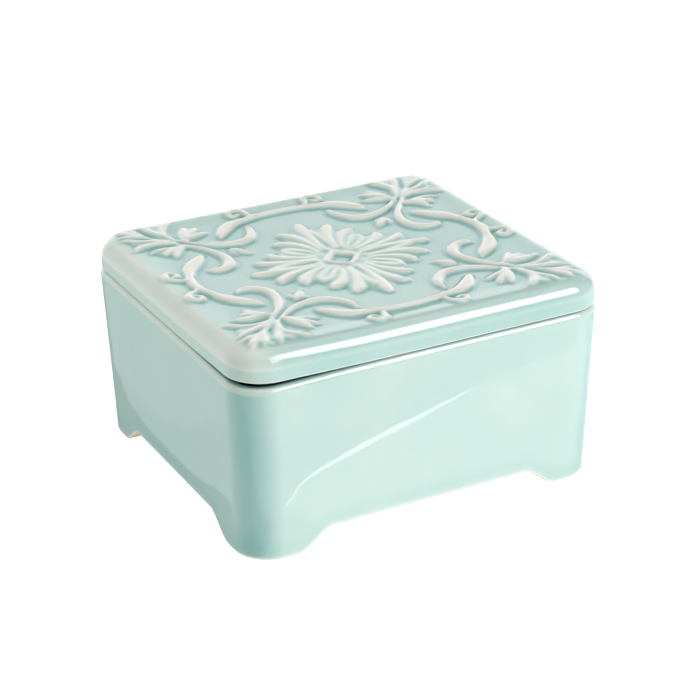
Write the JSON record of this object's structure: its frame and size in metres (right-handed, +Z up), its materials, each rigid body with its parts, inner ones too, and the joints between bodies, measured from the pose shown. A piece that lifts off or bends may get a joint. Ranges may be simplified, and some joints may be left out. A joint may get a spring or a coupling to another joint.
{
  "type": "vanity trinket box",
  "caption": "Rectangular glazed ceramic trinket box on bracket feet, with a loose lift-off lid that carries moulded acanthus and scroll relief.",
  "frame": {"origin": "on the surface that the box stands on, under the middle of the box", "axes": "+Z up; +X along the long side, to the right when the long front is faced; the long front faces -Y"},
  "size_m": [0.1256, 0.1168, 0.0687],
  "materials": {
    "base_glaze": "gloss",
    "lid_glaze": "gloss"
  },
  "bodies": {
    "base": {"box_base": "base_glaze"},
    "lid": {"lid": "lid_glaze"}
  },
  "joints": [
    {"name": "lid_lift", "type": "slide", "parent": "base", "child": "lid", "axis": [0, 0, 1], "range_m": [0, 0.06]}
  ]
}
